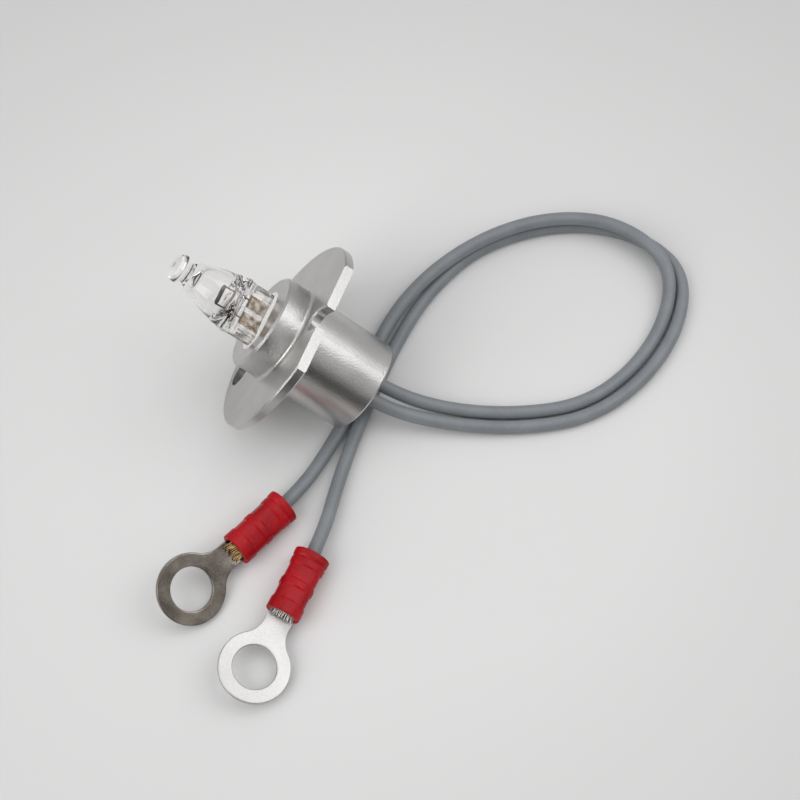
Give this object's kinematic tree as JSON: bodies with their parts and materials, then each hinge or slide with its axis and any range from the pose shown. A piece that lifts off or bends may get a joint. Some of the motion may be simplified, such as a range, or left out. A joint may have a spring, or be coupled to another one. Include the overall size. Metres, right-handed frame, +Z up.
{
  "type": "halogen lamp",
  "caption": "Halogen capsule bulb cemented in a turned metal flange holder with a flat, an open slot and a locating hole; grey insulated leads end in red-sleeved ring terminals.",
  "frame": {"origin": "centre of the bottom of the lamp's bounding box on the table, measured without the leads and what is on them", "axes": "+Z up from the table; +X from the tip of the bulb toward the rear of the barrel, seen from above; +Y across the lamp, toward the side where the leads loop"},
  "size_m": [0.07, 0.0928, 0.025],
  "materials": {
    "holder_metal": "satin, finely blasted",
    "quartz": "clear, glossy",
    "tungsten": "satin",
    "foil": "dull",
    "pin_metal": "satin",
    "cement": "matt, slightly rough",
    "potting": "matt",
    "core_metal": "stranded wire",
    "insulation": "satin",
    "terminal_metal": "tinned, satin",
    "sleeve": "glossy, slightly translucent"
  },
  "bodies": {
    "root": {"holder": "holder_metal", "bulb_envelope": "quartz", "filament": "tungsten", "seating_cement": "cement", "rear_potting": "potting", "inner_lead_a": "tungsten", "inner_lead_b": "tungsten", "foil_a": "foil", "foil_b": "foil", "contact_pin_a": "pin_metal", "contact_pin_b": "pin_metal", "splice_ferrule_a": "pin_metal", "splice_ferrule_b": "pin_metal", "lead_core_a": "core_metal", "lead_core_b": "core_metal", "lead_a": "insulation", "lead_b": "insulation", "ring_terminal_a": "terminal_metal", "ring_terminal_b": "terminal_metal", "terminal_sleeve_a": "sleeve", "terminal_sleeve_b": "sleeve", "strand_end_a": "core_metal", "strand_end_b": "core_metal"}
  },
  "joints": []
}
